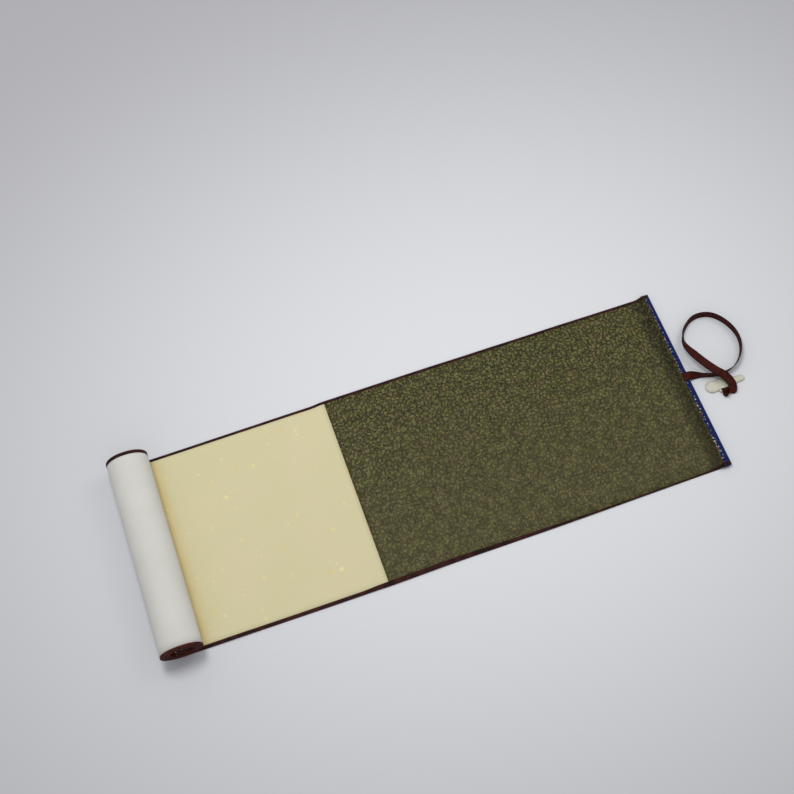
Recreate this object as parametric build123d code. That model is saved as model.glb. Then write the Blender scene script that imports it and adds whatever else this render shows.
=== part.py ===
from build123d import *
import math
import os

# Driving dimensions in millimetres. X runs along the scroll towards the stave, Y across it, Z up.
scroll_width = 234.0
paper_run = 235.0
silk_run = 418.0
sheet_thickness = 0.6
cloth_thickness = 0.25

# The wound part: radius of its outermost turn at mid thickness, spacing of the turns, flat under it.
outer_turn_radius = 22.4
turn_pitch = 2.3
rest_flat = 2.5
hollow_radius = 10.6
rod_diameter = 11.0
rod_inset = 1.5
rod_edge = 0.6
rod_wrap_angle = 270.0

# The half-round stave in the free end and the sheet's rise over it.
stave_width = 9.6
stave_height = 6.2
stave_top_radius = 1.8
stave_foot_radius = 2.9
rise_angle = 50.0
valley_radius = 8.0
brocade_lap = 7.2
cover_run = 190.0

# Edge bindings, folded round both long edges.
binding_face_width = 4.0
binding_back_width = 3.0

# Ribbon and toggle.
ribbon_width = 10.5
ribbon_thickness = 0.6
ribbon_lift = 0.2
ribbon_offset = 0.8
toggle_length = 50.0
toggle_wide_radius = 7.2
toggle_narrow_radius = 3.8
toggle_thickness = 3.0
toggle_edge = 0.8
toggle_place = (459.2, -20.4)
toggle_angle = -0.9
lug_shift = -4.4
lug_bar = 1.8
lug_step = 0.6
slot_clearance = 0.4
slot_play = 1.2
ribbon_slip = -1.0

# Levels and places that follow from the sizes above.
flat_level = cloth_thickness + sheet_thickness / 2
stave_top = cloth_thickness + stave_height
top_level = stave_top + sheet_thickness / 2
stave_right = silk_run - cloth_thickness
stave_left = stave_right - stave_width
meeting_x = stave_right - brocade_lap
half_sheet = sheet_thickness / 2
half_bound = half_sheet + cloth_thickness
half_width = scroll_width / 2
roll_foot_x = -paper_run
left_x = roll_foot_x - outer_turn_radius - half_bound
right_x = silk_run + cloth_thickness
middle_x = (left_x + right_x) / 2

# The toggle's lug: a slot as wide as the ribbon beside the slip, closed by a bar.
toggle_waist = (toggle_wide_radius + toggle_narrow_radius) / 2
lug_thickness = toggle_thickness + lug_step
slot_length = ribbon_width + 2 * slot_play
slot_width = ribbon_thickness + 2 * slot_clearance
slot_y = -toggle_waist - slot_width / 2 - slot_clearance
lug_length = slot_length + 2 * lug_bar


def moved(point, heading, distance):
    """The point that lies a distance along a heading given in degrees."""
    angle = math.radians(heading)
    return (point[0] + distance * math.cos(angle), point[1] + distance * math.sin(angle))


def trace(moves, start, heading, offset):
    """Edges of a path of lines and tangent arcs, moved sideways by offset towards its left."""
    point = moved(start, heading + 90, offset)
    edges = []
    for size, turn in moves:
        if turn == 0:
            ahead = moved(point, heading, size)
            edges.append(Line(point, ahead))
        else:
            side = math.copysign(1, turn)
            radius = size - side * offset
            centre = moved(point, heading + 90 * side, radius)
            halfway = moved(centre, heading - 90 * side + turn / 2, radius)
            heading += turn
            ahead = moved(centre, heading - 90 * side, radius)
            edges.append(ThreePointArc(point, halfway, ahead))
        point = ahead
    return edges, point, heading


def band(moves, start, heading, low, high):
    """Closed outline of a strip that follows a path between two offsets above its middle line."""
    upper, upper_end, _ = trace(moves, start, heading, -high)
    lower, lower_end, _ = trace(moves, start, heading, -low)
    caps = [Line(upper[0] @ 0, lower[0] @ 0), Line(upper_end, lower_end)]
    return make_face(Wire(upper + lower + caps))


def across(profile, near, far):
    """Extrude a side outline from one place across the scroll to another."""
    plane = Plane(origin=(-middle_x, far, 0), x_dir=(1, 0, 0), z_dir=(0, -1, 0))
    return extrude(plane * profile, amount=far - near)


def rise_moves():
    """From the meeting line on the stave down to the flat: over the edge, down the slope, round again."""
    crest = stave_top_radius + half_sheet
    lean = math.radians(rise_angle)
    slope = (stave_height - (crest + valley_radius) * (1 - math.cos(lean))) / math.sin(lean)
    over = meeting_x - stave_left - stave_top_radius
    return [(over, 0), (crest, rise_angle), (slope, 0), (valley_radius, -rise_angle)]


def wound_moves():
    """Half turns from the roll's foot inwards, then the wrap round the rod."""
    moves = []
    radius = outer_turn_radius
    while radius - turn_pitch / 2 > hollow_radius:
        moves += [(radius, -180), (rest_flat, 0), (radius - turn_pitch / 2, -180), (rest_flat, 0)]
        radius -= turn_pitch
    moves.append((rod_diameter / 2 + cloth_thickness + half_sheet, -rod_wrap_angle))
    return moves


rise = rise_moves()
free_end = (meeting_x, top_level)
_, rise_end, _ = trace(rise, free_end, 180, 0)
silk_flat = rise_end[0]
silk_moves = rise + [(silk_flat, 0)]
seam = (0, flat_level)
paper_moves = [(paper_run, 0)] + wound_moves()
whole_moves = rise + [(silk_flat + paper_run, 0)] + wound_moves()


def stave_profile():
    """Half-round section: flat top with eased edges, rounded foot."""
    middle = ((stave_left + stave_right) / 2, cloth_thickness + stave_height / 2)
    section = Pos(*middle) * Rectangle(stave_width, stave_height)
    section = fillet(section.vertices().group_by(Axis.Y)[-1], stave_top_radius)
    return fillet(section.vertices().group_by(Axis.Y)[0], stave_foot_radius)


def over_stave(low, high):
    """Strip on the stave's brocade from the meeting line over the outer edge, half way down its side."""
    section = stave_profile()
    ring = offset(section, amount=high) - offset(section, amount=low)
    half = stave_height / 2
    window = Pos(meeting_x + stave_width, stave_top) * Rectangle(2 * stave_width, 2 * half)
    return ring & window


def make_silk_panel():
    profile = band(silk_moves, free_end, 180, -half_sheet, half_sheet)
    edge = half_width - cloth_thickness
    return across(profile, -edge, edge)


def make_paper_sheet():
    profile = band(paper_moves, seam, 180, -half_sheet, half_sheet)
    edge = half_width - cloth_thickness
    return across(profile, -edge, edge)


def make_binding(side):
    """One strip folded round a long edge: wall, wide face lip, narrow back lip, strap over the stave."""
    wall = band(whole_moves, free_end, 180, -half_bound, half_bound)
    face_lip = band(whole_moves, free_end, 180, half_sheet, half_bound)
    back_lip = band(whole_moves, free_end, 180, -half_bound, -half_sheet)
    brocade = offset(stave_profile(), amount=cloth_thickness)
    strap = over_stave(cloth_thickness, 2 * cloth_thickness)
    riser_height = sheet_thickness
    riser = Pos(meeting_x + cloth_thickness / 2, stave_top + cloth_thickness + riser_height / 2)
    strap += riser * Rectangle(cloth_thickness, riser_height)
    pieces = [
        (wall - brocade, cloth_thickness),
        (face_lip, binding_face_width),
        (back_lip - brocade, binding_back_width),
        (strap, binding_face_width),
    ]
    solid = None
    for profile, width in pieces:
        near, far = (-half_width, width - half_width) if side < 0 else (half_width - width, half_width)
        piece = across(profile, near, far)
        solid = piece if solid is None else solid + piece
    return solid


def make_brocade_cover():
    """Brocade that wraps the stave and its ends, and covers the back of the silk panel."""
    section = stave_profile()
    skin = offset(section, amount=cloth_thickness)
    sheet = band(silk_moves, free_end, 180, -half_sheet, half_sheet)
    crest = (meeting_x - rise[0][0], top_level)
    back = band(rise[1:] + [(cover_run, 0)], crest, 180, -half_bound, -half_sheet)
    back_edge = half_width - binding_back_width
    wrap = across(skin - section - sheet, -half_width + cloth_thickness, half_width - cloth_thickness)
    lining = across(back - skin - sheet, -back_edge, back_edge)
    caps = across(skin - sheet, -half_width, -half_width + cloth_thickness)
    caps += across(skin - sheet, half_width - cloth_thickness, half_width)
    return wrap + caps + lining


def make_stave():
    return across(stave_profile(), -half_width + cloth_thickness, half_width - cloth_thickness)


def rod_centre():
    """The rod lies at the bottom of the hollow, inside the sheet's last wrap."""
    _, foot, _ = trace(paper_moves[:-1], seam, 180, 0)
    return (foot[0], foot[1] + rod_diameter / 2 + cloth_thickness + half_sheet)


def make_roller_rod():
    edge = half_width - rod_inset
    rod = across(Pos(*rod_centre()) * Circle(rod_diameter / 2), -edge, edge)
    return chamfer(rod.edges().filter_by(GeomType.CIRCLE), rod_edge)


# The ribbon's route, chosen by hand: X from the seam, Y from the scroll's middle line, Z up.
loop_route = [
    (418.6, 0.8),
    (434.0, -3.8),
    (454.0, -10.3),
    (475.5, -6.8),
    (492.5, 8.8),
    (498.8, 30.5),
    (492.0, 52.5),
    (477.5, 68.8),
    (455.5, 71.2),
    (438.5, 58.5),
    (430.2, 38.5),
    (433.2, 25.5),
]
loop_top = ribbon_lift + ribbon_width
end_level = lug_thickness + slot_clearance + 2 * ribbon_thickness
slot_turn = math.radians(toggle_angle)
slot_x = lug_shift + ribbon_slip
slot_place = (
    toggle_place[0] + slot_x * math.cos(slot_turn) - slot_y * math.sin(slot_turn),
    toggle_place[1] + slot_x * math.sin(slot_turn) + slot_y * math.cos(slot_turn),
)
end_route = [
    (430.8, 41.5, loop_top),
    (433.4, 24.5, loop_top + 1.8),
    (440.8, 8.0, loop_top + 2.4),
    (449.5, -6.5, loop_top + 2.4),
    (454.4, -16.4, loop_top - 1.2),
    (*slot_place, end_level),
]


def corner_radii(points):
    """Arc radius at each corner of a route, as large as its two runs allow."""
    places = [Vector(*p) for p in points]
    radii = []
    for before, corner, after in zip(places, places[1:], places[2:]):
        run_in = corner - before
        run_out = after - corner
        half_turn = math.radians(run_in.get_angle(run_out)) / 2
        radii.append(0.45 * min(run_in.length, run_out.length) / math.tan(half_turn))
    return radii


def ribbon_run(points, width, height):
    """Sweep a rectangle along straight runs and tangent arcs, upright where the route is level."""
    radii = corner_radii(points)
    path = FilletPolyline(*points, radius=radii)
    start = Plane(origin=path @ 0, x_dir=Vector(0, 0, 1).cross(path % 0), z_dir=path % 0)
    run = sweep(start * Rectangle(width, height), path=path)
    print("ribbon radii", [round(r, 1) for r in radii], "length", round(path.length, 1))
    print("volume", round(run.volume, 1), "section times length", round(width * height * path.length, 1))
    return run


def make_ribbon():
    """Strap on the stave, loop that stands on its edge, flat end that crosses it and fills the slot."""
    strap_profile = over_stave(cloth_thickness, cloth_thickness + ribbon_thickness)
    half = ribbon_width / 2
    strap = across(strap_profile, ribbon_offset - half, ribbon_offset + half)
    loop_places = [(x - middle_x, y, ribbon_lift + half) for x, y in loop_route]
    end_places = [(x - middle_x, y, z) for x, y, z in end_route]
    loop = ribbon_run(loop_places, ribbon_thickness, ribbon_width)
    end = ribbon_run(end_places, ribbon_width, ribbon_thickness)
    leg_foot = slot_clearance
    leg_size = (ribbon_width, ribbon_thickness, end_level + ribbon_thickness / 2 - leg_foot)
    leg_place = Pos(slot_place[0] - middle_x, slot_place[1], leg_foot + leg_size[2] / 2)
    leg = leg_place * Rot(Z=toggle_angle) * Box(*leg_size)
    return strap + loop + end + leg


def make_toggle():
    """Tapered slip with round ends and a slotted lug on its near edge."""
    reach = toggle_length - toggle_wide_radius - toggle_narrow_radius
    wide = Pos(-reach / 2, 0) * Circle(toggle_wide_radius)
    narrow = Pos(reach / 2, 0) * Circle(toggle_narrow_radius)
    slip = extrude(make_hull(wide.edges() + narrow.edges()), amount=toggle_thickness)
    slip = chamfer(slip.edges().group_by(Axis.Z)[-1] + slip.edges().group_by(Axis.Z)[0], toggle_edge)
    lug_far = slot_y + slot_width / 2 + toggle_waist / 2
    lug_near = slot_y - slot_width / 2 - lug_bar
    lug_middle = (lug_far + lug_near) / 2
    lug_outline = Pos(lug_shift, lug_middle) * RectangleRounded(lug_length, lug_far - lug_near, lug_bar / 2)
    lug = extrude(lug_outline, amount=lug_thickness)
    slot = Pos(lug_shift, slot_y, lug_thickness / 2) * Box(slot_length, slot_width, 2 * lug_thickness)
    place = Pos(toggle_place[0] - middle_x, toggle_place[1], 0) * Rot(Z=toggle_angle)
    return place * (slip + lug - slot)


if __name__ == "__main__":
    os.makedirs("parts", exist_ok=True)
    nodes = {
        "paper_sheet": make_paper_sheet(),
        "silk_panel": make_silk_panel(),
        "near_binding": make_binding(-1),
        "far_binding": make_binding(1),
        "brocade_cover": make_brocade_cover(),
        "stave": make_stave(),
        "roller_rod": make_roller_rod(),
        "ribbon": make_ribbon(),
        "toggle": make_toggle(),
    }
    for name, solid in nodes.items():
        box = solid.bounding_box()
        print(name, len(solid.solids()), round(solid.volume, 1), box.min, box.max)
        export_step(solid, f"parts/{name}.step")
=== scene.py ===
import math

import bpy
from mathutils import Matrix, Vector, noise


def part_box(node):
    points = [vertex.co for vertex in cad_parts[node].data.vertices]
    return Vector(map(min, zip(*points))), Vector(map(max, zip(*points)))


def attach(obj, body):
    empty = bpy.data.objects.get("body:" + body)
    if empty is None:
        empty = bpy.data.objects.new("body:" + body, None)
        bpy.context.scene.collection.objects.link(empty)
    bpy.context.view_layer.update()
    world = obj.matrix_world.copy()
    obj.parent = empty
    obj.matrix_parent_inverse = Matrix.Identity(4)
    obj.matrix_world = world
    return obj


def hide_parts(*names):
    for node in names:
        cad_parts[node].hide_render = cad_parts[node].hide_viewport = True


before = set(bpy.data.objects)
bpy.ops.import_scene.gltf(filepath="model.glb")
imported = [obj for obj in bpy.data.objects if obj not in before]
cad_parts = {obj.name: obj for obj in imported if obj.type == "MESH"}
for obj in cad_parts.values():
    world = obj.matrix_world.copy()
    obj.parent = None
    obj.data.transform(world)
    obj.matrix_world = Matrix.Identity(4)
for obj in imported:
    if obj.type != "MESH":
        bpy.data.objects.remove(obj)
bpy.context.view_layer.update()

# Driving sizes in metres. X runs along the scroll towards the stave, Y across it, Z up.
mm = 0.001
sheet_thickness = 0.6 * mm
cloth_thickness = 0.25 * mm
half_sheet = sheet_thickness / 2
half_bound = half_sheet + cloth_thickness

# How finely pieces are drawn: steps across and along, and the widest turns in degrees between two stations.
across_step = 10 * mm
sheet_step = 6 * mm
rise_step = 2 * mm
table_step = 0.5 * mm
rise_turn = 6
table_turn = 3
wound_turn = 9
stave_turn = 8

# Places read from the parts in model.glb.
paper_low, paper_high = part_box("paper_sheet")
stave_low, stave_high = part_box("stave")
rod_low, rod_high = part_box("roller_rod")
seam_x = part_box("silk_panel")[0].x
half_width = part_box("far_binding")[1].y
flat_level = paper_low.z + half_sheet
outer_turn_radius = (paper_high.z - paper_low.z) / 2 - half_sheet
paper_run = seam_x - paper_low.x - outer_turn_radius - half_sheet

# The wound part: its turns, how they close in, and how far and how often to a metre its edges wander.
turns = 9
rest_flat = 2.5 * mm
tight_pitch = 1.13 * mm
rod_wrap_angle = 270.0
edge_wander = 0.5 * mm
wander_rate = 14
wander_ease = 30 * mm

# The flat sheet's faint waves: how many to a metre along and across, and where roll and stave still them.
wave_height = 0.9 * mm
wave_lean = 0.35
long_waves = (9, 6)
short_waves = (21, 13)
roll_calm = 60 * mm
stave_calm_x = 200 * mm

# The sheet's rise over the stave.
stave_top_radius = 1.8 * mm
stave_foot_radius = 2.9 * mm
rise_angle = 50.0
valley_radius = 8.0 * mm
brocade_lap = 6.9 * mm
lap_skew = 1.3 * mm
lap_flat = 5.2 * mm
lap_steps = 3
cover_run = 190.0 * mm
cover_end_inset = 0.02 * mm

# Edge bindings: the near one widest by the seam and narrowest by the stave, the far one mostly on the back.
near_face = 4.2 * mm
near_face_seam = 5.4 * mm
near_face_narrow = 1.9 * mm
near_back = 2.0 * mm
far_face = 3.3 * mm
far_back = 4.2 * mm
near_narrow_at = 110 * mm
near_wide_at = 350 * mm
near_change = 30 * mm
fold_radius = 0.22 * mm
fold_steps = 6
fray_depth = 0.06 * mm
fray_rate = 160

# The bindings' straps over the stave: how far they lap the silk, and how they step down from it.
strap_lap = 0.3 * mm
strap_step = 0.35 * mm
strap_step_start = 0.2 * mm
strap_step_end = 1.2 * mm

# How far the near and the far edge lie outside their straight lines, by length from the free end.
edge_runs = [
    (0 * mm, -0.2 * mm, -0.2 * mm),
    (230 * mm, 1.2 * mm, 0.1 * mm),
    (330 * mm, 0.9 * mm, 0.3 * mm),
    (415 * mm, 1.8 * mm, 0.2 * mm),
    (430 * mm, 1.5 * mm, -1.1 * mm),
    (650 * mm, 0.1 * mm, -2.3 * mm),
    (700 * mm, 0.4 * mm, -2.1 * mm),
]

# Ribbon: its route, X from the seam, Y from the middle line, Z up, then its width's direction there.
ribbon_width = 10.5 * mm
ribbon_thickness = 0.5 * mm
ribbon_cup = 0.35 * mm
cup_rate = 25
ribbon_rows = 10
route_steps = 12
ribbon_route = [
    ((410.9, 0.8, 7.05), (0, 1, 0)),
    ((416.8, 0.8, 7.1), (0, 1, 0)),
    ((421.0, 0.3, 6.4), (0, 0.75, 0.65)),
    ((434.0, -3.8, 5.5), (0, 0.1, 1)),
    ((454.0, -10.3, 5.45), (0, 0, 1)),
    ((475.5, -6.8, 5.45), (0.12, -0.08, 1)),
    ((492.5, 8.8, 5.45), (0.04, 0, 1)),
    ((498.8, 30.5, 5.45), (0, 0, 1)),
    ((492.0, 52.5, 5.45), (0.03, 0.03, 1)),
    ((477.5, 68.8, 5.45), (0, 0.12, 1)),
    ((455.5, 71.2, 5.45), (-0.12, 0.25, 1)),
    ((438.5, 58.5, 5.45), (-0.34, 0.12, 0.94)),
    ((433.2, 48.5, 6.4), (-0.42, 0, 0.9)),
    ((430.6, 37.0, 9.2), (-0.86, 0, 0.5)),
    ((433.2, 24.5, 12.2), (-1, 0, 0.08)),
    ((440.5, 8.0, 13.2), (-1, 0, 0)),
    ((449.5, -6.5, 13.1), (-1, 0, 0)),
    ((457.5, -14.5, 11.0), (-1, 0, 0)),
    ((461.8, -23.0, 8.2), (-1, 0, 0)),
    ((462.0, -29.0, 6.4), (-1, 0, 0)),
    ((459.0, -34.8, 4.6), (-1, -0.1, 0)),
    ((454.0, -35.0, 1.2), (-1, -0.1, 0)),
    ((453.6, -32.4, 1.4), (-1, 0, 0)),
    ((453.6, -30.6, 4.2), (-1, 0, 0)),
    ((453.7, -28.0, 4.6), (-1, 0, 0)),
    ((453.7, -26.9, 3.6), (-1, 0, 0)),
    ((453.7, -26.9, 1.2), (-1, 0, 0)),
]

# Toggle: a tapered slip with round ends and a slotted lug, turned a little from the scroll's length.
toggle_length = 50.0 * mm
toggle_wide_radius = 7.6 * mm
toggle_narrow_radius = 3.8 * mm
toggle_angle = -0.9
toggle_place = (459.2 * mm, -20.4 * mm)
lug_shift = -4.4 * mm
lug_bar = 1.8 * mm
lug_thickness = 2.6 * mm
lug_foot = 0.9 * mm
lug_root_share = 0.8
lug_soft_edge = 0.6 * mm
slot_clearance = 0.48 * mm
slot_wall = 0.4 * mm
slot_play = 1.2 * mm

# The slip's side as (inset, height) in millimetres, from its underside round its edge to its top.
slip_profile = [
    (1.2, 0.0),
    (0.35, 0.25),
    (0.0, 0.9),
    (0.05, 1.5),
    (0.4, 2.2),
    (1.2, 2.75),
    (2.3, 2.97),
    (3.3, 3.0),
]

# Camera, as worked out from the scroll's straight edges.
camera_place = (-191.25 * mm, -439.2 * mm, 1302.4 * mm)
camera_turn = (23.547, -0.182, -19.71)
camera_angle = 36.541
sensor_width = 36.0

# Surface under the scroll: half its side, the gap to it, and its tone, with painted light that falls off from
# one place.
floor_reach = 8.0
surface_gap = 0.05 * mm
painted_light_centre = (0.12, 0.018, 0)
painted_light_radius = 0.04
painted_dim_radius = 1.02
faster_across = 1.26

# Lamps as place, width and power in watts, and the even light from all round.
overhead_lamp = ((-0.24, 0.44, 1.6), 0.6, 12.8)
side_lamp = ((1.1, 0.3, 1.4), 0.8, 3.8)
lamp_tint = (1.0, 0.99, 0.97)
sky_tint = (0.97, 0.98, 1.0, 1)
sky_strength = 0.5

# End faces read the patterns this far before the free end, clear of every change of tone along the scroll.
end_face_shift = 1.0


def collect(obj):
    """Put an object into the scene."""
    bpy.context.scene.collection.objects.link(obj)
    return obj


def make_camera():
    """The camera, with its lens worked out from its angle of view."""
    data = bpy.data.cameras.new("camera")
    data.sensor_width = sensor_width
    data.lens = sensor_width / 2 / math.tan(math.radians(camera_angle) / 2)
    data.clip_start = 0.01
    data.clip_end = 20
    camera = collect(bpy.data.objects.new("camera", data))
    camera.location = camera_place
    camera.rotation_euler = [math.radians(angle) for angle in camera_turn]
    bpy.context.scene.camera = camera


def smooth(low, high, value):
    """0 below low, 1 above high, eased between them."""
    share = min(max((value - low) / (high - low), 0), 1)
    return share * share * (3 - 2 * share)


# Meshes

def mesh_object(name, points, faces, uvs, materials, material_of=None):
    """A smooth-shaded piece that rides on the scroll; uvs holds one pair for each point of each face."""
    mesh = bpy.data.meshes.new(name)
    mesh.from_pydata(points, [], faces)
    layer = mesh.uv_layers.new(name="lay")
    flat = [value for face_uvs in uvs for pair in face_uvs for value in pair]
    layer.data.foreach_set("uv", flat)
    mesh.shade_smooth()
    for material in materials:
        mesh.materials.append(material)
    if material_of:
        mesh.polygons.foreach_set("material_index", material_of)
    obj = collect(bpy.data.objects.new(name, mesh))
    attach(obj, "root")
    return obj


def loft(name, sections, along, around, materials, material_at=None):
    """Closed skin through sections with the same number of points, with places along and around in UV."""
    count = len(sections[0])
    points = [point for section in sections for point in section]
    faces = []
    uvs = []
    kinds = []
    for i in range(len(sections) - 1):
        for j in range(count):
            k = (j + 1) % count
            faces.append((i * count + j, i * count + k, (i + 1) * count + k, (i + 1) * count + j))
            v0, v1 = around[j], around[j + 1]
            uvs.append(((along[i], v0), (along[i], v1), (along[i + 1], v1), (along[i + 1], v0)))
            kinds.append(material_at(i, j) if material_at else 0)
    for i, order in ((0, -1), (len(sections) - 1, 1)):
        faces.append(tuple(i * count + j for j in range(count))[::order])
        uvs.append(tuple((x - end_face_shift, z) for x, _, z in sections[i])[::order])
        kinds.append(0)
    return mesh_object(name, points, faces, uvs, materials, kinds)


def sharpen(obj, angle):
    """Edges that turn by more than an angle stay crisp."""
    obj.data.set_sharp_from_angle(angle=math.radians(angle))
    return obj


# The sheet's side path

def walk(moves, start, heading, step, arc_step):
    """Stations (x, z, heading, length so far) along lines (length, 0) and tangent arcs (radius, angle)."""
    x, z = start
    length = 0.0
    stations = [(x, z, heading, length)]
    for size, turn in moves:
        arc = abs(math.radians(turn)) * size
        count = max(1, math.ceil(abs(turn) / arc_step)) if turn else max(1, math.ceil(size / step))
        for _ in range(count):
            if turn:
                part = turn / count
                chord = 2 * size * math.sin(math.radians(abs(part)) / 2)
                middle = math.radians(heading + part / 2)
                heading += part
                length += arc / count
            else:
                chord = size / count
                middle = math.radians(heading)
                length += chord
            x += chord * math.cos(middle)
            z += chord * math.sin(middle)
            stations.append((x, z, heading, length))
    return stations


def face_normal(station):
    """Unit vector towards the sheet's face side, up where the sheet lies flat and inwards in the roll."""
    angle = math.radians(station[2])
    return math.sin(angle), -math.cos(angle)


def rise_moves():
    """The silk's way down: over the stave's rounded top, down its slope and round into the flat."""
    crest = stave_top_radius + half_sheet
    lean = math.radians(rise_angle)
    height = stave_high.z - stave_low.z
    slope = (height - (crest + valley_radius) * (1 - math.cos(lean))) / math.sin(lean)
    over = meeting_x - stave_low.x - stave_top_radius
    return [(over, 0), (crest, rise_angle), (slope, 0), (valley_radius, -rise_angle)]


def wound_moves():
    """Half turns inwards, the outer ones tight and the inner ones looser, then the wrap round the rod."""
    climb = rod_low.z - cloth_thickness - half_sheet - flat_level
    slack = climb - turns * tight_pitch
    weights = [(turn / turns) ** 2 for turn in range(turns)]
    moves = []
    radius = outer_turn_radius
    for weight in weights:
        pitch = tight_pitch + slack * weight / sum(weights)
        moves += [(radius, -180), (rest_flat, 0), (radius - pitch / 2, -180), (rest_flat, 0)]
        radius -= pitch
    wrap_radius = (rod_high.z - rod_low.z) / 2 + cloth_thickness + half_sheet
    moves.append((wrap_radius, -rod_wrap_angle))
    return moves


meeting_x = stave_high.x - brocade_lap
rise = rise_moves()
free_end = (meeting_x, stave_high.z + half_sheet)
rise_foot_x, _, _, rise_length = walk(rise, free_end, 180, rise_step, rise_turn)[-1]
rise_table = walk(rise + [(10 * mm, 0)], free_end, 180, table_step, table_turn)
silk_stations = walk(rise + [(rise_foot_x - seam_x, 0)], free_end, 180, sheet_step, rise_turn)
wound_path = [(paper_run, 0)] + wound_moves()
paper_stations = walk(wound_path, (seam_x, flat_level), 180, sheet_step, wound_turn)
silk_length = silk_stations[-1][3]
roll_start = silk_length + paper_run
whole_stations = silk_stations + [(x, z, turn, silk_length + s) for x, z, turn, s in paper_stations[1:]]


def lift(x, y):
    """How far the sheet stands off the surface in its long, faint waves; none at the roll or at the stave."""
    roll_x = seam_x - paper_run
    ends = smooth(roll_x, roll_x + roll_calm, x) * smooth(rise_foot_x, stave_calm_x, x)
    long_wave = noise.noise(Vector((x * long_waves[0], y * long_waves[1], 3.7)))
    short_wave = noise.noise(Vector((x * short_waves[0], y * short_waves[1], 8.1)))
    return ends * max(0.0, wave_lean + long_wave + 0.5 * short_wave) * wave_height


def wander(s):
    """Sideways drift of the sheet's edge where it is wound."""
    wound = smooth(roll_start, roll_start + wander_ease, s)
    return wound * edge_wander * noise.noise(Vector((s * wander_rate, 5.3, 1.9)))


def across(y, s):
    """Where a place across the scroll really lies, with both edges a little in or out."""
    near, far = edge_runs[0][1:]
    for (start, near0, far0), (end, near1, far1) in zip(edge_runs, edge_runs[1:]):
        share = smooth(start, end, s)
        near += (near1 - near0) * share
        far += (far1 - far0) * share
    towards_far = (y / half_width + 1) / 2
    return y + towards_far * far - (1 - towards_far) * near + wander(s)


def placed(station, y, offset):
    """A point of the sheet: across it at y, and off its middle surface towards the face side."""
    x, z, _, s = station
    nx, nz = face_normal(station)
    flat = rise_length < s < roll_start
    raised = lift(x, y) if flat else 0.0
    return (x + nx * offset, across(y, s), z + nz * offset + raised)


def slab(name, stations, low_y, high_y, low, high, slot, materials, place=placed):
    """A layer between two places across the scroll and two offsets; its back takes the last material."""
    divisions = max(1, round((high_y - low_y) / across_step))
    rows = [low_y + (high_y - low_y) * i / divisions for i in range(divisions + 1)]
    places = [(y, high) for y in rows] + [(y, low) for y in reversed(rows)]
    sections = [[place(station, y, offset) for y, offset in places] for station in stations]
    around = [y for y, _ in places] + [places[0][0]]
    along = [station[3] for station in stations]
    side = len(rows)
    back = len(materials) - 1
    return loft(name, sections, along, around, materials, lambda i, j: 0 if j < side else back)


def make_sheet(name, stations, slot, face_material, back_material, place=placed):
    """A panel between the bindings' folds, with a face and a back."""
    edge = half_width - cloth_thickness
    faced = [face_material, back_material]
    return slab(name, stations, -edge, edge, -half_sheet, half_sheet, slot, faced, place)


def face_width(side, s):
    """How wide a binding shows on the face."""
    if side > 0:
        return far_face
    if s > silk_length:
        past = smooth(silk_length, silk_length + near_change, s)
        return near_face_seam + (near_face - near_face_seam) * past
    widening = smooth(near_narrow_at, near_wide_at, s)
    width = near_face_narrow + (near_face_seam - near_face_narrow) * widening
    return near_face + (width - near_face) * smooth(0, near_change, s)


def fold_shape(face, back):
    """Outline of a folded strip as (inset from the edge, offset from the sheet's middle)."""
    shape = [(back, -half_bound), (fold_radius, -half_bound)]
    for i in range(1, fold_steps):
        angle = math.radians(180 * i / fold_steps)
        shape.append((fold_radius * (1 - math.sin(angle)), -half_bound * math.cos(angle)))
    shape += [(fold_radius, half_bound), (face, half_bound), (face, half_sheet)]
    shape += [(cloth_thickness, half_sheet), (cloth_thickness, -half_sheet), (back, -half_sheet)]
    return shape


def make_binding(name, side, material):
    """A strip folded round a long edge: a lip on the face, a rounded fold, a lip on the back."""
    back = near_back if side < 0 else far_back
    sections = []
    for station in whole_stations:
        fray = fray_depth * noise.noise(Vector((station[3] * fray_rate, side * 4.0, 0)))
        shape = fold_shape(face_width(side, station[3]) + fray, back + fray)[::-side]
        sections.append([placed(station, side * (half_width - inset), offset) for inset, offset in shape])
    around = [0.0]
    for (a, b), (c, d) in zip(shape, shape[1:] + shape[:1]):
        around.append(around[-1] + math.hypot(c - a, d - b))
    along = [station[3] for station in whole_stations]
    piece = loft(name, sections, along, around, [material])
    return sharpen(piece, 40)


def joined(name, pieces):
    """Several pieces made into one."""
    with bpy.context.temp_override(active_object=pieces[0], selected_editable_objects=pieces):
        bpy.ops.object.join()
    pieces[0].name = name
    return pieces[0]


# The slanting line on the stave where the silk ends and its brocade starts

def lap_shift(y):
    """How far the line lies from its middle place, towards the silk on the near side."""
    return -lap_skew * y / half_width


def rise_place(s):
    """The sheet's middle surface at a length from the middle place; below zero it runs on over the stave."""
    if s <= 0:
        return meeting_x - s, free_end[1], 180
    after = next(i for i, station in enumerate(rise_table) if station[3] >= s)
    x0, z0, turn0, s0 = rise_table[after - 1]
    x1, z1, turn1, s1 = rise_table[after]
    share = (s - s0) / (s1 - s0)
    return x0 + (x1 - x0) * share, z0 + (z1 - z0) * share, turn0 + (turn1 - turn0) * share


def on_silk(station, y, offset):
    """A point of the silk, whose end follows the slanting line."""
    s = station[3]
    shift = lap_shift(y) * (1 - smooth(0, rise_length, s))
    return placed((*rise_place(s + shift), s), y, offset) if shift else placed(station, y, offset)


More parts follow.
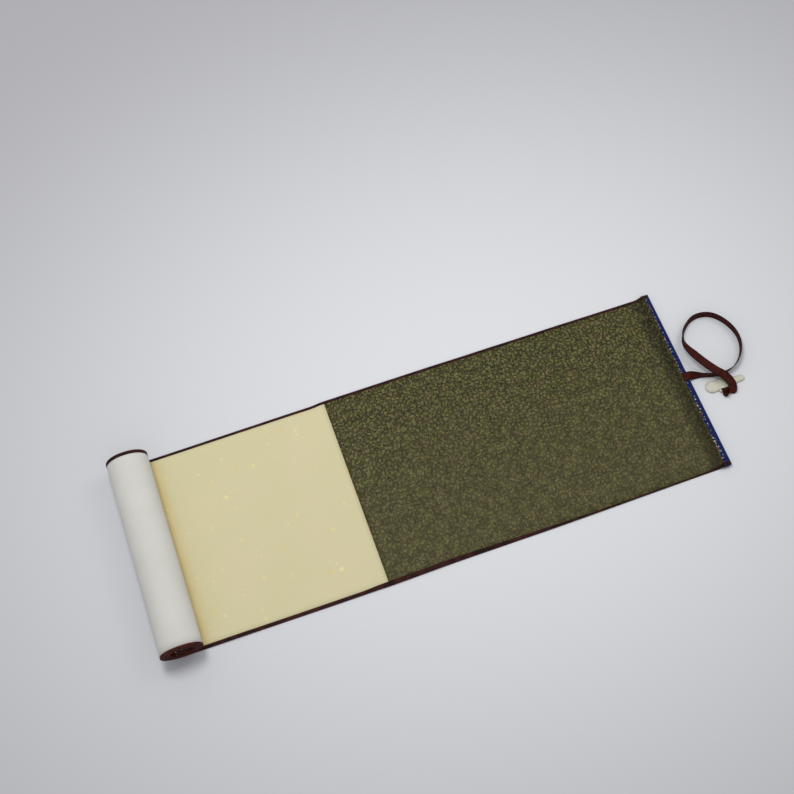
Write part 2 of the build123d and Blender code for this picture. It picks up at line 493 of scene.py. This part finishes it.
def on_wrap(station, y, offset):
    """A point of the stave's brocade, whose start follows the slanting line."""
    run = -station[3]
    if run >= lap_flat:
        return placed(station, y, offset)
    start = -lap_shift(y)
    run_here = start + (run + lap_skew) / (lap_flat + lap_skew) * (lap_flat - start)
    if run_here >= 0:
        return placed((meeting_x + run_here, stave_high.z, 0, -run), y, offset)
    x, z, turn = rise_place(-run_here)
    nx, nz = face_normal((x, z, turn))
    return placed((x - nx * half_sheet, z - nz * half_sheet, turn - 180, -run), y, offset)


# The stave's cover

def stave_stations(start_x, moves):
    """Stations on the stave's skin from its top outwards, with lengths counted below zero."""
    start = (start_x, stave_high.z)
    return [(x, z, turn, -s) for x, z, turn, s in walk(moves, start, 0, rise_step, stave_turn)]


def stave_moves():
    """Over the stave's top, down its outer side, under it and up its inner side."""
    side = stave_high.z - stave_low.z - stave_top_radius - stave_foot_radius
    bottom = stave_high.x - stave_low.x - 2 * stave_foot_radius
    return [
        (stave_high.x - stave_top_radius - meeting_x, 0),
        (stave_top_radius, -90),
        (side, 0),
        (stave_foot_radius, -90),
        (bottom, 0),
        (stave_foot_radius, -90),
        (side, 0),
    ]


def make_brocade(material):
    """Brocade wrapped round the stave, closed over its ends, and lining the silk's back beside it."""
    lap = [(meeting_x, stave_high.z, 0, lap_skew * (1 - i / lap_steps)) for i in range(lap_steps)]
    turned = lap + stave_stations(meeting_x, stave_moves())
    skin = (-cloth_thickness, 0, "brocade", [material])
    wrap = slab("brocade_wrap", turned, -half_width, half_width, *skin, on_wrap)
    last = max(i for i, station in enumerate(silk_stations) if station[0] > rise_foot_x - cover_run)
    first = next(i for i, station in enumerate(silk_stations) if station[0] < stave_low.x)
    near_edge = near_back - half_width
    far_edge = half_width - far_back
    strip = silk_stations[first:last + 1]
    skin = (-half_bound, -half_sheet, "brocade", [material])
    lining = slab("brocade_lining", strip, near_edge, far_edge, *skin)
    ring = stave_stations(meeting_x, stave_moves() + [(stave_top_radius, -90)])
    pieces = [wrap, lining]
    for side in (-1, 1):
        outer = side * (half_width - cover_end_inset)
        inner = side * (half_width - cloth_thickness)
        sections = [[placed(station, y, 0.0) for station in ring] for y in sorted((inner, outer))]
        around = [station[3] for station in ring] + [ring[0][3]]
        pieces.append(loft("brocade_end", sections, [inner, outer], around, [material]))
    return sharpen(joined("brocade_cloth", pieces), 50)


def make_strap(side, material):
    """The binding's run over the stave: off the silk, across the top and half way down the outer side."""
    half_side = (stave_high.z - stave_low.z) / 2 - stave_top_radius
    moves = [(stave_high.x - stave_top_radius - meeting_x, 0), (stave_top_radius, -90), (half_side, 0)]
    face = face_width(side, 0)
    inner = half_width - face
    sections = []
    stations = stave_stations(meeting_x - strap_lap, moves)
    for station in stations:
        step = strap_step * (1 - smooth(strap_step_start, strap_step_end, -station[3]))
        outer = 2 * cloth_thickness + step
        corners = [(inner, outer), (half_width, outer)]
        corners += [(half_width, cloth_thickness), (inner, cloth_thickness)]
        corners = corners if side > 0 else corners[::-1]
        sections.append([placed(station, side * y, -offset) for y, offset in corners])
    along = [station[3] for station in stations]
    around = [0.0, face, face + cloth_thickness, 2 * face, 2 * face + cloth_thickness]
    return sharpen(loft("strap", sections, along, around, [material]), 50)


# Ribbon and toggle

def smooth_route(points):
    """Points read along the smooth line that a route's points control."""
    data = bpy.data.curves.new("route", "CURVE")
    data.dimensions = "3D"
    data.resolution_u = route_steps
    spline = data.splines.new("NURBS")
    spline.points.add(len(points) - 1)
    for target, (x, y, z) in zip(spline.points, points):
        target.co = (seam_x + x * mm, y * mm, z * mm, 1)
    spline.order_u = 3
    spline.use_endpoint_u = True
    line = bpy.data.objects.new("route", data)
    mesh = bpy.data.meshes.new_from_object(line)
    made = [vertex.co.copy() for vertex in mesh.vertices]
    bpy.data.meshes.remove(mesh)
    bpy.data.objects.remove(line)
    return made


def turned_width(share):
    """Direction across the ribbon's width at a share of its route."""
    place = share * (len(ribbon_route) - 2) + 0.5
    before = min(int(place), len(ribbon_route) - 2)
    first = Vector(ribbon_route[before][1])
    second = Vector(ribbon_route[before + 1][1])
    return first.lerp(second, min(place - before, 1))


def make_ribbon(material):
    """Flat on the stave, on its edge round the loop, then flat over its own first run and round the lug."""
    path = smooth_route([place for place, _ in ribbon_route])
    half = ribbon_width / 2
    thin = ribbon_thickness / 2
    rows = [half * math.sin(math.pi * (i / ribbon_rows - 0.5)) for i in range(ribbon_rows + 1)]
    shape = [(row, thin) for row in rows] + [(row, -thin) for row in reversed(rows)]
    sections = []
    along = []
    length = 0.0
    for i, point in enumerate(path):
        ahead = path[min(i + 1, len(path) - 1)]
        behind = path[max(i - 1, 0)]
        length += (point - behind).length if i else 0.0
        heading = (ahead - behind).normalized()
        wide = turned_width(i / (len(path) - 1))
        wide = (wide - wide.dot(heading) * heading).normalized()
        face = heading.cross(wide)
        cup = ribbon_cup * noise.noise(Vector((length * cup_rate, 2.2, 6.1)))
        cupped = [(row, level, level + cup * (1 - (row / half) ** 2)) for row, level in shape]
        section = [point + wide * row + face * out for row, _, out in cupped]
        for corner, (_, level, _) in zip(section, cupped):
            corner.z = max(corner.z, thin + surface_gap + level)
        sections.append(section)
        along.append(length)
    around = [row for row, _ in shape] + [shape[0][0]]
    return sharpen(loft("tie_ribbon", sections, along, around, [material]), 60), path


def slip_outline(inset, count=20):
    """Points round the hull of the toggle's two end circles, moved inwards."""
    reach = toggle_length - toggle_wide_radius - toggle_narrow_radius
    lean = math.asin((toggle_wide_radius - toggle_narrow_radius) / reach)
    points = []
    for centre, radius, start, sweep in (
        (reach / 2, toggle_narrow_radius, -math.pi / 2 + lean, math.pi - 2 * lean),
        (-reach / 2, toggle_wide_radius, math.pi / 2 - lean, math.pi + 2 * lean),
    ):
        for i in range(count + 1):
            angle = start + sweep * i / count
            points.append((centre + (radius - inset) * math.cos(angle), (radius - inset) * math.sin(angle)))
    return points


def placed_toggle(x, y, z):
    """A point of the toggle where the toggle lies, turned a little."""
    angle = math.radians(toggle_angle)
    return (
        seam_x + toggle_place[0] + x * math.cos(angle) - y * math.sin(angle),
        toggle_place[1] + x * math.sin(angle) + y * math.cos(angle),
        z,
    )


def make_slip(material):
    """The toggle's domed slip."""
    sections = []
    for inset, z in slip_profile:
        sections.append([placed_toggle(x, y, z * mm) for x, y in slip_outline(inset * mm)])
    along = [z * mm for _, z in slip_profile]
    around = [i * mm for i in range(len(sections[0]) + 1)]
    return sharpen(loft("slip", sections, along, around, [material]), 70)


def make_lug(material):
    """A bar on the slip's near side with soft edges, and a slot that takes the ribbon."""
    waist = (toggle_wide_radius + toggle_narrow_radius) / 2
    slot_length = ribbon_width + 2 * slot_play
    slot_width = ribbon_thickness + 2 * slot_clearance
    slot_far = -waist - slot_wall
    slot_near = slot_far - slot_width
    slot_out = slot_length / 2
    far = slot_far + lug_root_share * waist
    near = slot_near - lug_bar
    out = slot_out + lug_bar
    ring_out = [(-out, near), (out, near), (out, far), (-out, far)]
    ring_in = [(-slot_out, slot_near), (slot_out, slot_near), (slot_out, slot_far), (-slot_out, slot_far)]
    heights = (lug_foot, lug_foot + lug_thickness)
    rings = [[(x, y, z) for x, y in ring] for ring in (ring_out, ring_in) for z in heights]
    points = [placed_toggle(x + lug_shift, y, z) for ring in rings for x, y, z in ring]
    faces = []
    for i in range(4):
        k = (i + 1) % 4
        faces.append((i, k, 4 + k, 4 + i))
        faces.append((8 + k, 8 + i, 12 + i, 12 + k))
        faces.append((4 + i, 4 + k, 12 + k, 12 + i))
        faces.append((k, i, 8 + i, 8 + k))
    uvs = [tuple(points[index][:2] for index in face) for face in faces]
    lug = mesh_object("lug", points, faces, uvs, [material])
    soften = lug.modifiers.new("soft_edges", "BEVEL")
    soften.width = lug_soft_edge
    soften.segments = 3
    lug.data = bpy.data.meshes.new_from_object(lug.evaluated_get(bpy.context.evaluated_depsgraph_get()))
    lug.modifiers.clear()
    return lug


def make_toggle(material):
    """Slip and lug as the one piece that they are."""
    return joined("slotted_toggle", [make_slip(material), make_lug(material)])


# Shader nodes

def socket_value(made, key, value):
    """Feed a node's input from another node's output or with a plain value."""
    if isinstance(value, bpy.types.NodeSocket):
        made.id_data.links.new(value, made.inputs[key])
    else:
        made.inputs[key].default_value = value


def add(tree, kind, inputs=None, **settings):
    """A new node with its settings, then its inputs."""
    made = tree.nodes.new(kind)
    for key, value in settings.items():
        setattr(made, key, value)
    for key, value in (inputs or {}).items():
        socket_value(made, key, value)
    return made


def calc(tree, operation, *values):
    """One step of arithmetic on plain numbers."""
    return add(tree, "ShaderNodeMath", dict(enumerate(values)), operation=operation).outputs[0]


def vector_calc(tree, operation, *values):
    """One step of arithmetic on places or colours."""
    return add(tree, "ShaderNodeVectorMath", dict(enumerate(values)), operation=operation).outputs[0]


def scaled(tree, place, scale):
    """A place times a plain number."""
    return add(tree, "ShaderNodeVectorMath", {0: place, "Scale": scale}, operation="SCALE").outputs[0]


def split(tree, place):
    """A place's three numbers."""
    return add(tree, "ShaderNodeSeparateXYZ", {0: place}).outputs


def ramp(tree, value, low, high, start=0.0, end=1.0):
    """Value carried smoothly from low..high to start..end."""
    inputs = dict(enumerate((value, low, high, start, end)))
    return add(tree, "ShaderNodeMapRange", inputs, interpolation_type="SMOOTHSTEP").outputs[0]


def mixed(tree, share, first, second):
    """A colour that goes from the first to the second as the share goes from 0 to 1."""
    return add(tree, "ShaderNodeMix", {0: share, 6: first, 7: second}, data_type="RGBA").outputs[2]


def noisy(tree, place, size, detail=2.0, roughness=0.5):
    """Noise with features of about a size in metres, from 0 to 1."""
    inputs = {"Vector": scaled(tree, place, 1 / size), "Scale": 1, "Detail": detail, "Roughness": roughness}
    return add(tree, "ShaderNodeTexNoise", inputs).outputs["Fac"]


def colour(red, green, blue):
    """Linear colour from display values of 0 to 255."""
    def linear(value):
        value /= 255
        return value / 12.92 if value <= 0.04045 else ((value + 0.055) / 1.055) ** 2.4

    return (linear(red), linear(green), linear(blue), 1.0)


def start_material(name, roughness, specular=0.5):
    """A new material, its nodes, its surface node and the sheet's flat places in metres."""
    made = bpy.data.materials.new(name)
    made.use_nodes = True
    tree = made.node_tree
    surface = tree.nodes["Principled BSDF"]
    surface.inputs["Roughness"].default_value = roughness
    surface.inputs["Specular IOR Level"].default_value = specular
    place = add(tree, "ShaderNodeUVMap", uv_map="lay").outputs[0]
    return made, tree, surface, place


def bump(tree, surface, height, depth):
    """Relief on a surface from heights of 0 to 1."""
    made = add(tree, "ShaderNodeBump", {"Height": height, "Distance": depth, "Strength": 1.0})
    tree.links.new(made.outputs[0], surface.inputs["Normal"])


def warped(tree, place, size, reach):
    """A place pushed about by noise of a size, by up to about half a reach each way."""
    drift = add(tree, "ShaderNodeTexNoise", {"Vector": scaled(tree, place, 1 / size), "Scale": 1})
    centred = vector_calc(tree, "SUBTRACT", drift.outputs["Color"], (0.5, 0.5, 0.5))
    return vector_calc(tree, "ADD", place, scaled(tree, centred, reach))


def weave(tree, place, pitch):
    """Over and under threads as a height from 0 to 1."""
    parts = split(tree, scaled(tree, place, math.pi / pitch))
    warp = calc(tree, "SINE", parts[0])
    weft = calc(tree, "SINE", parts[1])
    return calc(tree, "MULTIPLY_ADD", calc(tree, "MULTIPLY", warp, weft), 0.5, 0.5)


def motif_cell(tree, place, size, randomness):
    """Local place in a scattered cell, turned at random, and the cell's random colour."""
    counted = scaled(tree, place, 1 / size)
    inputs = {"Vector": counted, "Scale": 1, "Randomness": randomness}
    cells = add(tree, "ShaderNodeTexVoronoi", inputs, voronoi_dimensions="2D")
    local = vector_calc(tree, "SUBTRACT", counted, cells.outputs["Position"])
    chance = add(tree, "ShaderNodeSeparateColor", {0: cells.outputs["Color"]})
    angle = calc(tree, "MULTIPLY", chance.outputs[0], 2 * math.pi)
    turned = add(tree, "ShaderNodeVectorRotate", {"Vector": local, "Angle": angle})
    parts = split(tree, turned.outputs[0])
    return parts[0], parts[1], chance


def petal_depth(tree, across, along, length, width):
    """How far inside a pointed petal a place lies, and how far beside its rib, in cell units."""
    share = calc(tree, "DIVIDE", along, length)
    edge = calc(tree, "MULTIPLY", calc(tree, "SUBTRACT", 1.0, calc(tree, "MULTIPLY", share, share)), width)
    side = calc(tree, "ABSOLUTE", across)
    return calc(tree, "SUBTRACT", edge, side), side


def petal(tree, across, along, length, width):
    """A pointed petal in cell units."""
    depth, _ = petal_depth(tree, across, along, length, width)
    return ramp(tree, depth, 0.0, 0.04)


# Materials

def curling_lines(tree, place, size, width):
    """Fine lines that curl about, where smooth noise of a size passes its middle value."""
    away = calc(tree, "ABSOLUTE", calc(tree, "SUBTRACT", noisy(tree, place, size, 0.0), 0.5))
    return ramp(tree, away, width / 2, width, 1.0, 0.0)


def leaf_layer(tree, place, size, line):
    """Pointed leaves scattered in cells of a size: their places, their outlines and ribs, their chances."""
    across_leaf, along_leaf, chance = motif_cell(tree, place, size, randomness=0.85)
    depth, side = petal_depth(tree, across_leaf, along_leaf, length=0.62, width=0.34)
    inside = ramp(tree, depth, -0.02, 0.02)
    rim = ramp(tree, calc(tree, "ABSOLUTE", depth), line / 2, line, 1.0, 0.0)
    rib = calc(tree, "MULTIPLY", inside, ramp(tree, side, line / 4, line / 2, 0.8, 0.0))
    return inside, calc(tree, "MAXIMUM", rim, rib), chance


def silk_material():
    """Damask of small outlined leaves in olive and brown green over thin stems; painted sheen pales it by the
    near edge and painted shade darkens it where it rises over the stave.
    """
    made, tree, surface, place = start_material("silk_damask", 0.6, 0.12)
    bent = warped(tree, place, 3 * mm, 2.6 * mm)
    upper, upper_lines, chance = leaf_layer(tree, bent, 4.8 * mm, 0.1)
    elsewhere = vector_calc(tree, "ADD", bent, (0.371, 0.593, 0))
    lower, lower_lines, lower_chance = leaf_layer(tree, elsewhere, 3.5 * mm, 0.13)
    bare = calc(tree, "SUBTRACT", 1.0, upper)
    free = calc(tree, "SUBTRACT", 1.0, calc(tree, "MAXIMUM", upper, lower))
    stems = calc(tree, "MULTIPLY", curling_lines(tree, place, 3.4 * mm, 0.07), free)
    under = calc(tree, "MAXIMUM", calc(tree, "MULTIPLY", lower_lines, bare), stems)
    outlines = calc(tree, "MAXIMUM", upper_lines, under)
    leaves = calc(tree, "MAXIMUM", upper, calc(tree, "MULTIPLY", lower, 0.6))
    drift = ramp(tree, noisy(tree, place, 10 * mm, 2.0), 0.38, 0.62)
    field = mixed(tree, drift, colour(88, 80, 50), colour(80, 82, 44))
    leaf = mixed(tree, drift, colour(98, 91, 55), colour(97, 100, 52))
    paler = mixed(tree, upper, lower_chance.outputs["Green"], chance.outputs["Blue"])
    leaf = mixed(tree, calc(tree, "MULTIPLY", paler, 0.5), leaf, colour(127, 123, 82))
    outline = mixed(tree, drift, colour(36, 29, 19), colour(33, 32, 18))
    face = mixed(tree, outlines, mixed(tree, leaves, field, leaf), outline)
    along, over, _ = split(tree, place)
    # Painted sheen: towards the near edge the pattern is mixed towards one even, slightly lighter colour.
    faint = ramp(tree, over, -half_width, half_width, 0.42, 0.0)
    face = mixed(tree, faint, face, colour(85, 80, 53))
    grain = ramp(tree, noisy(tree, place, 1.6 * mm, 3.0, 0.6), 0.25, 0.75, 0.8, 1.2)
    # Painted shade: the silk is darker, down to about half its tone, where it rises over the stave.
    painted_slope_shade = ramp(tree, along, 12 * mm, 22 * mm, 0.52, 1.0)
    clumps = ramp(tree, noisy(tree, place, 11 * mm, 1.0), 0.4, 0.6, 0.86, 1.15)
    shade = calc(tree, "MULTIPLY", grain, calc(tree, "MULTIPLY", painted_slope_shade, clumps))
    tree.links.new(vector_calc(tree, "MULTIPLY", face, shade), surface.inputs["Base Color"])
    threads = weave(tree, place, 0.5 * mm)
    height = calc(tree, "MULTIPLY", calc(tree, "SUBTRACT", leaves, outlines), 0.6)
    bump(tree, surface, calc(tree, "MULTIPLY_ADD", threads, 0.5, height), 0.05 * mm)
    return made


def fleck_shares(tree, place, size, chosen_above, radius):
    """Scattered ragged flecks: where they are, from 0 to 1."""
    bent = warped(tree, place, 1.5 * mm, 4.0 * mm)
    x, y, chance = motif_cell(tree, bent, size, randomness=1.0)
    span = calc(tree, "MULTIPLY_ADD", chance.outputs[1], radius, radius * 0.5)
    oblong = calc(tree, "DIVIDE", x, 1.6)
    squares = calc(tree, "ADD", calc(tree, "POWER", oblong, 2.0), calc(tree, "POWER", y, 2.0))
    reach = calc(tree, "SQRT", squares)
    inside = ramp(tree, calc(tree, "SUBTRACT", span, reach), 0.0, 0.06)
    return calc(tree, "MULTIPLY", inside, calc(tree, "GREATER_THAN", chance.outputs[2], chosen_above))


def paper_material():
    """Cream paper, faintly clouded, with scattered gold leaf; painted shade, warm brown in patches, by the
    roll, and painted grey shade inside it.
    """
    made, tree, surface, place = start_material("flecked_paper", 0.75, 0.25)
    cloud = ramp(tree, noisy(tree, place, 60 * mm, 3.0), 0.3, 0.7)
    fibre = ramp(tree, noisy(tree, place, 2.5 * mm, 4.0, 0.6), 0.3, 0.7)
    face = mixed(tree, cloud, colour(212, 203, 165), colour(208, 201, 161))
    face = mixed(tree, calc(tree, "MULTIPLY", fibre, 0.25), face, colour(202, 192, 150))
    along = split(tree, place)[0]
    # Painted shade: the paper turns a darker warm brown, in patches, where it curls into the nip beside the
    # roll.
    painted_nip_shade = ramp(tree, along, roll_start - 40 * mm, roll_start - 16 * mm)
    painted_nip_shade = calc(tree, "MULTIPLY", painted_nip_shade, ramp(tree, noisy(tree, place, 22 * mm, 2.0), 0.3, 0.6, 0.7, 1.0))
    face = mixed(tree, painted_nip_shade, face, colour(202, 178, 116))
    # Painted shade: deep inside the roll, past about 600 mm of wound length, the paper is painted grey.
    inside = ramp(tree, along, roll_start + 600 * mm, roll_start + 800 * mm)
    face = mixed(tree, inside, face, colour(112, 118, 115))
    coarse = fleck_shares(tree, place, 26 * mm, chosen_above=0.45, radius=0.08)
    fine = fleck_shares(tree, place, 9 * mm, chosen_above=0.84, radius=0.1)
    flecks = calc(tree, "MAXIMUM", coarse, fine)
    soft = calc(tree, "MULTIPLY", flecks, 0.5)
    deeper = ramp(tree, noisy(tree, place, 30 * mm), 0.4, 0.6)
    leaf = mixed(tree, deeper, colour(236, 224, 150), colour(218, 188, 116))
    tree.links.new(mixed(tree, soft, face, leaf), surface.inputs["Base Color"])
    tree.links.new(ramp(tree, flecks, 0.0, 1.0, 0.75, 0.5), surface.inputs["Roughness"])
    bump(tree, surface, calc(tree, "ADD", fibre, calc(tree, "MULTIPLY", flecks, 0.6)), 0.03 * mm)
    return made


def backing_material():
    """Warm white lining paper with long soft fibres, and painted shade, dark and grey in patches, on its last
    turns round the rod.
    """
    made, tree, surface, place = start_material("backing_paper", 0.8, 0.25)
    stretched = vector_calc(tree, "MULTIPLY", place, (1.0, 0.25, 1.0))
    fibres = ramp(tree, noisy(tree, stretched, 1.2 * mm, 4.0, 0.6), 0.3, 0.7)
    cloud = ramp(tree, noisy(tree, place, 45 * mm, 2.0), 0.3, 0.7)
    face = mixed(tree, cloud, colour(209, 208, 203), colour(205, 204, 197))
    face = mixed(tree, calc(tree, "MULTIPLY", fibres, 0.2), face, colour(196, 194, 186))
    along = split(tree, place)[0]
    inner_end = whole_stations[-1][3]
    # Painted shade: near its inner end, where it lines the roll's hollow round the rod, the paper is painted
    # dark and grey in patches.
    painted_hollow_shade = ramp(tree, along, inner_end - 60 * mm, inner_end - 30 * mm)
    patches = ramp(tree, noisy(tree, place, 5 * mm, 1.0), 0.46, 0.54)
    face = mixed(tree, painted_hollow_shade, face, mixed(tree, patches, colour(64, 58, 58), colour(164, 172, 172)))
    tree.links.new(face, surface.inputs["Base Color"])
    bump(tree, surface, fibres, 0.03 * mm)
    return made


def binding_material(name, wound_tone):
    """Plain woven dark red tape, slightly uneven in colour, and lighter and redder by a given share where it
    is wound up.
    """
    made, tree, surface, place = start_material(name, 0.7, 0.12)
    uneven = ramp(tree, noisy(tree, place, 14 * mm, 4.0, 0.6), 0.38, 0.62)
    threads = weave(tree, place, 0.45 * mm)
    share = calc(tree, "MULTIPLY_ADD", threads, 0.3, calc(tree, "MULTIPLY", uneven, 0.7))
    along = split(tree, place)[0]
    # The wound part of the tape is lighter and redder by the given share: all of it on the near tape, none of
    # it on the far one.
    wound = ramp(tree, along, roll_start, roll_start + 20 * mm, 0.0, wound_tone)
    dark = mixed(tree, wound, colour(26, 10, 11), colour(42, 15, 13))
    light = mixed(tree, wound, colour(63, 29, 26), colour(94, 42, 34))
    tree.links.new(mixed(tree, share, dark, light), surface.inputs["Base Color"])
    bump(tree, surface, threads, 0.06 * mm)
    return made


def ribbon_material():
    """Dark red ribbed ribbon with darker selvedges."""
    made, tree, surface, place = start_material("ribbed_ribbon", 0.65, 0.1)
    selvedge = ramp(tree, calc(tree, "ABSOLUTE", split(tree, place)[1]), 3.4 * mm, 5.0 * mm)
    threads = weave(tree, place, 0.5 * mm)
    uneven = ramp(tree, noisy(tree, place, 5 * mm, 3.0, 0.6), 0.3, 0.7)
    share = calc(tree, "MULTIPLY_ADD", threads, 0.4, calc(tree, "MULTIPLY", uneven, 0.6))
    face = mixed(tree, share, colour(41, 9, 6), colour(75, 24, 16))
    tree.links.new(mixed(tree, selvedge, face, colour(18, 8, 10)), surface.inputs["Base Color"])
    bump(tree, surface, threads, 0.06 * mm)
    return made


def brocade_material():
    """Deep blue brocade with scattered small sprigs in gold, pink and white."""
    made, tree, surface, place = start_material("sprigged_brocade", 0.7, 0.1)
    threads = weave(tree, place, 0.4 * mm)
    ground = mixed(tree, threads, colour(8, 20, 56), colour(11, 38, 100))
    bent = warped(tree, place, 1.5 * mm, 1.4 * mm)
    x, y, chance = motif_cell(tree, bent, 3.2 * mm, randomness=0.95)
    long_petal = petal(tree, x, y, length=0.5, width=0.2)
    short_petal = petal(tree, y, x, length=0.36, width=0.14)
    sprigs = calc(tree, "MAXIMUM", long_petal, short_petal)
    along = split(tree, place)[0]
    sparse = ramp(tree, along, 2 * mm, 10 * mm, 0.15, 0.65)
    sprigs = calc(tree, "MULTIPLY", sprigs, calc(tree, "GREATER_THAN", chance.outputs[1], sparse))
    near_lap = ramp(tree, along, -2.4 * mm, -1.2 * mm, 0.04, 1.0)
    groups = ramp(tree, noisy(tree, place, 9 * mm, 1.0), 0.4, 0.48, 0.3, 1.0)
    sprigs = calc(tree, "MULTIPLY", sprigs, calc(tree, "MULTIPLY", near_lap, groups))
    pale = calc(tree, "GREATER_THAN", chance.outputs[2], 0.62)
    rosy = calc(tree, "GREATER_THAN", chance.outputs[0], 0.5)
    tint = mixed(tree, rosy, colour(160, 132, 74), colour(158, 84, 88))
    tint = mixed(tree, pale, tint, colour(204, 200, 188))
    tree.links.new(mixed(tree, sprigs, ground, tint), surface.inputs["Base Color"])
    bump(tree, surface, calc(tree, "MULTIPLY_ADD", threads, 0.4, sprigs), 0.06 * mm)
    return made


def bone_material():
    """Ivory-coloured slip, faintly clouded, with a soft shine."""
    made, tree, surface, _ = start_material("ivory_slip", 0.32, 0.5)
    place = add(tree, "ShaderNodeTexCoord").outputs["Object"]
    cloud = ramp(tree, noisy(tree, place, 5 * mm, 2.0), 0.3, 0.7)
    face = mixed(tree, cloud, colour(200, 198, 181), colour(191, 188, 168))
    tree.links.new(face, surface.inputs["Base Color"])
    surface.inputs["Subsurface Weight"].default_value = 0.15
    surface.inputs["Subsurface Scale"].default_value = 1.5 * mm
    surface.inputs["Subsurface Radius"].default_value = (1.0, 0.8, 0.5)
    return made


def wood_material():
    """Plain brown wood: long grain along the scroll's width, faint rings round the rod's axis on its ends."""
    made, tree, surface, _ = start_material("plain_wood", 0.6, 0.2)
    place = add(tree, "ShaderNodeTexCoord").outputs["Object"]
    axis = ((rod_low.x + rod_high.x) / 2, 0, (rod_low.z + rod_high.z) / 2)
    stretched = vector_calc(tree, "MULTIPLY", vector_calc(tree, "SUBTRACT", place, axis), (1, 0.04, 1))
    reach = add(tree, "ShaderNodeVectorMath", {0: stretched}, operation="LENGTH").outputs["Value"]
    uneven = calc(tree, "MULTIPLY", noisy(tree, stretched, 2 * mm, 3.0), 0.8 * mm)
    phase = calc(tree, "MULTIPLY", calc(tree, "ADD", reach, uneven), 2 * math.pi / (1.1 * mm))
    grain = ramp(tree, calc(tree, "SINE", phase), -1.0, 1.0)
    tree.links.new(mixed(tree, grain, colour(70, 48, 32), colour(96, 68, 44)), surface.inputs["Base Color"])
    return made


# Floor and light

def make_floor():
    """The pale surface that the scroll lies on, with painted light falloff: a little darker further away."""
    signs = ((-1, -1), (1, -1), (1, 1), (-1, 1))
    corners = [(x * floor_reach, y * floor_reach, -surface_gap) for x, y in signs]
    mesh = bpy.data.meshes.new("floor")
    mesh.from_pydata(corners, [], [(0, 1, 2, 3)])
    made = bpy.data.materials.new("pale_surface")
    made.use_nodes = True
    tree = made.node_tree
    surface = tree.nodes["Principled BSDF"]
    place = add(tree, "ShaderNodeTexCoord").outputs["Object"]
    longer = vector_calc(tree, "MULTIPLY", place, (1, faster_across, 1))
    away = add(tree, "ShaderNodeVectorMath", {0: longer, 1: painted_light_centre}, operation="DISTANCE")
    # Painted light falloff: the surface is brightest near one place and darker further from it.
    share = ramp(tree, away.outputs["Value"], painted_light_radius, painted_dim_radius)
    tone = mixed(tree, share, colour(221, 223, 227), colour(180, 180, 185))
    tree.links.new(tone, surface.inputs["Base Color"])
    surface.inputs["Roughness"].default_value = 0.8
    surface.inputs["Specular IOR Level"].default_value = 0.15
    mesh.materials.append(made)
    collect(bpy.data.objects.new("floor", mesh))


def make_lamp(name, place, size, power):
    """A round lamp that faces the middle of the scene."""
    data = bpy.data.lights.new(name, "AREA")
    data.shape = "DISK"
    data.size = size
    data.energy = power
    data.color = lamp_tint
    lamp = collect(bpy.data.objects.new(name, data))
    lamp.location = place
    lamp.rotation_euler = (Vector((0, 0, 0)) - Vector(place)).to_track_quat("-Z", "Y").to_euler()


def make_light():
    """Soft daylight: even light from all round, a lamp above and a weaker one at the side."""
    world = bpy.data.worlds.new("world")
    world.use_nodes = True
    world.node_tree.nodes["Background"].inputs["Color"].default_value = sky_tint
    world.node_tree.nodes["Background"].inputs["Strength"].default_value = sky_strength
    bpy.context.scene.world = world
    make_lamp("overhead", *overhead_lamp)
    make_lamp("side", *side_lamp)


# Scene

make_camera()
make_light()
make_floor()

silk = silk_material()
paper = paper_material()
backing = backing_material()
brocade = brocade_material()
bone = bone_material()
ribbon_cloth = ribbon_material()
wood = wood_material()
for hidden in ("stave", "roller_rod"):
    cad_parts[hidden].data.materials.clear()
    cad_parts[hidden].data.materials.append(wood)

silk_piece = make_sheet("silk_face", silk_stations, "silk", silk, backing, on_silk)
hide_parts("silk_panel")
paper_piece = make_sheet("paper_face", whole_stations[len(silk_stations) - 1:], "paper", paper, backing)
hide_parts("paper_sheet")
for name, side, wound_tone in (("near", -1, 1.0), ("far", 1, 0.0)):
    binding = binding_material(f"{name}_tape", wound_tone)
    tape = make_binding("folded_tape", side, binding)
    tape = joined(f"{name}_edge_tape", [tape, make_strap(side, binding)])
    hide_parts(f"{name}_binding")
brocade_piece = make_brocade(brocade)
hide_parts("brocade_cover")
toggle_piece = make_toggle(bone)
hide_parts("toggle")
ribbon_piece, ribbon_path = make_ribbon(ribbon_cloth)
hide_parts("ribbon")

bpy.context.scene.view_settings.view_transform = "Standard"
